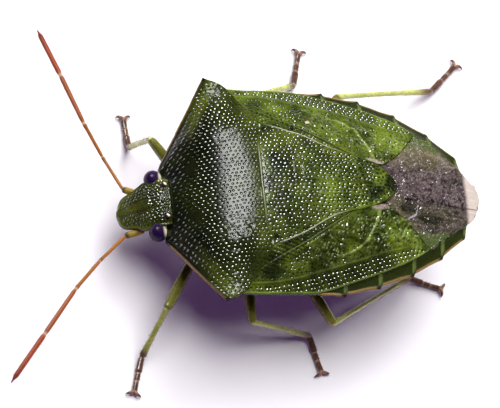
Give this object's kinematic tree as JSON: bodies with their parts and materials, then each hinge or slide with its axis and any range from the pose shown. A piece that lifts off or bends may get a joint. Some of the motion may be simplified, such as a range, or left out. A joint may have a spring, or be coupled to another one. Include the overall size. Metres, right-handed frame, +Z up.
{
  "type": "shield bug",
  "caption": "Life-size still model of a green shield bug standing on six legs, with jointed feelers, pointed shoulders and folded wings.",
  "frame": {"origin": "on the floor, under the middle of the bounding box of the whole animal", "axes": "+X from the head to the tail, +Y to the animal's right, +Z up"},
  "size_m": [0.0228, 0.018, 0.0055],
  "materials": {
    "cuticle": "glossy pitted dark green shell",
    "abdomen": "glossy leaf green with black rim points",
    "membrane": "thin brownish veined wing tip",
    "eye": "glossy purple black",
    "beak": "satin olive",
    "feeler": "satin orange brown",
    "leg": "glossy yellow green",
    "shin": "glossy green",
    "foot": "satin red brown"
  },
  "bodies": {
    "root": {"head": "cuticle", "eye_left": "eye", "eye_right": "eye", "rostrum": "beak", "antenna_left": "feeler", "antenna_right": "feeler", "pronotum": "cuticle", "scutellum": "cuticle", "corium_left": "cuticle", "corium_right": "cuticle", "membrane_left": "membrane", "membrane_right": "membrane", "thorax": "cuticle", "abdomen": "abdomen", "coxa_front_left": "leg", "femur_front_left": "leg", "tibia_front_left": "shin", "tarsus_front_left": "foot", "coxa_front_right": "leg", "femur_front_right": "leg", "tibia_front_right": "shin", "tarsus_front_right": "foot", "coxa_middle_left": "leg", "femur_middle_left": "leg", "tibia_middle_left": "shin", "tarsus_middle_left": "foot", "coxa_middle_right": "leg", "femur_middle_right": "leg", "tibia_middle_right": "shin", "tarsus_middle_right": "foot", "coxa_hind_left": "leg", "femur_hind_left": "leg", "tibia_hind_left": "shin", "tarsus_hind_left": "foot", "coxa_hind_right": "leg", "femur_hind_right": "leg", "tibia_hind_right": "shin", "tarsus_hind_right": "foot"}
  },
  "joints": []
}
